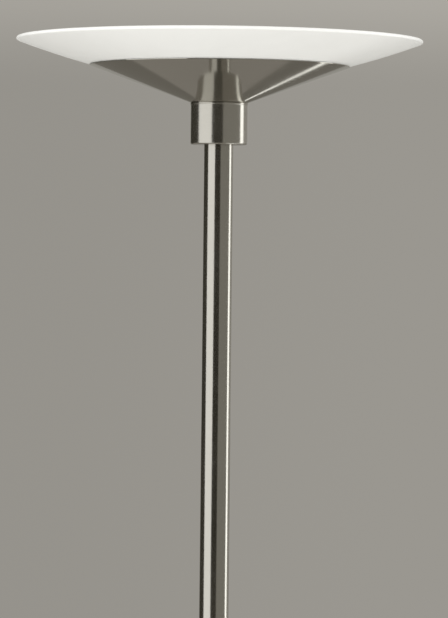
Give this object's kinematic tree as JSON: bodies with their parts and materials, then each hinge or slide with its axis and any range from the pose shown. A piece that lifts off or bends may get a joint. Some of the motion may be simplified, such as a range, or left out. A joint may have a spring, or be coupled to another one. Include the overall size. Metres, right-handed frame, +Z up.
{
  "type": "torchiere floor lamp with reading light",
  "caption": "Floor lamp: a shallow opal glass uplight dish on a spun metal cone and slim pole, with a small reading light on a jointed side arm.",
  "frame": {"origin": "centre of the round base on the floor", "axes": "+Z up the pole, +X along the stored reading arm, -Y the side of the dials, +Y the cord inlet"},
  "size_m": [0.5513, 0.3528, 1.8],
  "materials": {
    "satin_nickel": "satin brushed nickel plate",
    "opal_glass": "opal white, polished",
    "dark_nickel": "satin nickel, machined",
    "zinc_steel": "bright zinc plate",
    "cast_iron": "as cast, painted black",
    "felt": "pressed felt",
    "nylon": "moulded black",
    "rubber": "clear silicone grey",
    "lead_sheath": "smooth sheath",
    "driver_case": "moulded white",
    "heat_sink": "as cast",
    "circuit_board": "white solder mask",
    "emitters": "phosphor",
    "opal_acrylic": "opal satin"
  },
  "bodies": {
    "stand": {"base_pad": "felt", "base_weight": "cast_iron", "base_cover": "satin_nickel", "base_collar": "satin_nickel", "base_washer": "zinc_steel", "cord_gland": "nylon", "gland_nut": "nylon", "led_driver": "driver_case", "lower_tube": "satin_nickel", "middle_tube": "satin_nickel", "upper_tube": "satin_nickel", "tube_plugs": "zinc_steel", "pole_stud": "zinc_steel", "joining_nipples": "zinc_steel", "locknuts": "zinc_steel", "pole_lead": "lead_sheath", "stop_collar": "satin_nickel", "stop_screw": "zinc_steel", "swivel_washers": "nylon", "dimmer_bottom_cap": "satin_nickel", "dimmer_sleeve": "satin_nickel", "dimmer_top_cap": "satin_nickel", "dimmer_board": "circuit_board", "dimmer_pots": "zinc_steel", "dimmer_nuts": "zinc_steel", "head_collar": "satin_nickel", "head_nipple": "zinc_steel", "head_cone": "satin_nickel", "rim_gasket": "rubber", "glass_washers": "rubber", "glass_dish": "opal_glass", "led_pan": "heat_sink", "pan_ring": "heat_sink", "led_board": "circuit_board", "led_chips": "emitters", "board_screws": "zinc_steel", "uplight_diffuser": "opal_acrylic", "diffuser_ring": "satin_nickel"},
    "uplight_dial": {"uplight_shaft": "zinc_steel", "uplight_knob": "dark_nickel"},
    "reading_dial": {"reading_shaft": "zinc_steel", "reading_knob": "dark_nickel"},
    "swivel": {"swivel_ring": "satin_nickel", "hinge_bolt": "zinc_steel", "hinge_washers": "nylon"},
    "arm_lock": {"lock_knob": "dark_nickel"},
    "arm": {"arm_tongue": "satin_nickel", "arm_tube": "satin_nickel", "arm_tip": "satin_nickel", "tip_screw": "zinc_steel"},
    "head_joint": {"head_swivel": "satin_nickel"},
    "reading_head": {"reading_neck": "satin_nickel", "head_screw": "zinc_steel", "reading_cone": "satin_nickel", "reading_washers": "rubber", "reading_glass": "opal_glass", "reading_pan": "heat_sink", "reading_board": "circuit_board", "reading_chips": "emitters", "reading_diffuser": "opal_acrylic"}
  },
  "joints": [
    {"name": "arm_swing", "type": "hinge", "parent": "stand", "child": "swivel", "pos_m": [0, 0, 1.077], "axis": [0, 0, 1], "range_deg": [-160, 160]},
    {"name": "arm_tilt", "type": "hinge", "parent": "swivel", "child": "arm", "pos_m": [0.033, 0, 1.077], "axis": [0, -1, 0], "range_deg": [-75, 45]},
    {"name": "head_turn", "type": "hinge", "parent": "arm", "child": "head_joint", "pos_m": [0.31491, 0, 1.17961], "axis": [0.9397, 0, 0.342], "range_deg": [-170, 170]},
    {"name": "head_tilt", "type": "hinge", "parent": "head_joint", "child": "reading_head", "pos_m": [0.31491, 0, 1.17961], "axis": [0, 1, 0], "range_deg": [-120, 20]},
    {"name": "uplight_dial_turn", "type": "hinge", "parent": "stand", "child": "uplight_dial", "pos_m": [0, -0.0265, 1.16], "axis": [0, 1, 0], "range_deg": [0, 280]},
    {"name": "reading_dial_turn", "type": "hinge", "parent": "stand", "child": "reading_dial", "pos_m": [0, -0.0265, 1.124], "axis": [0, 1, 0], "range_deg": [0, 280]},
    {"name": "arm_lock_turn", "type": "hinge", "parent": "swivel", "child": "arm_lock", "pos_m": [0.033, -0.016, 1.077], "axis": [0, -1, 0], "range_deg": [0, 180]}
  ]
}
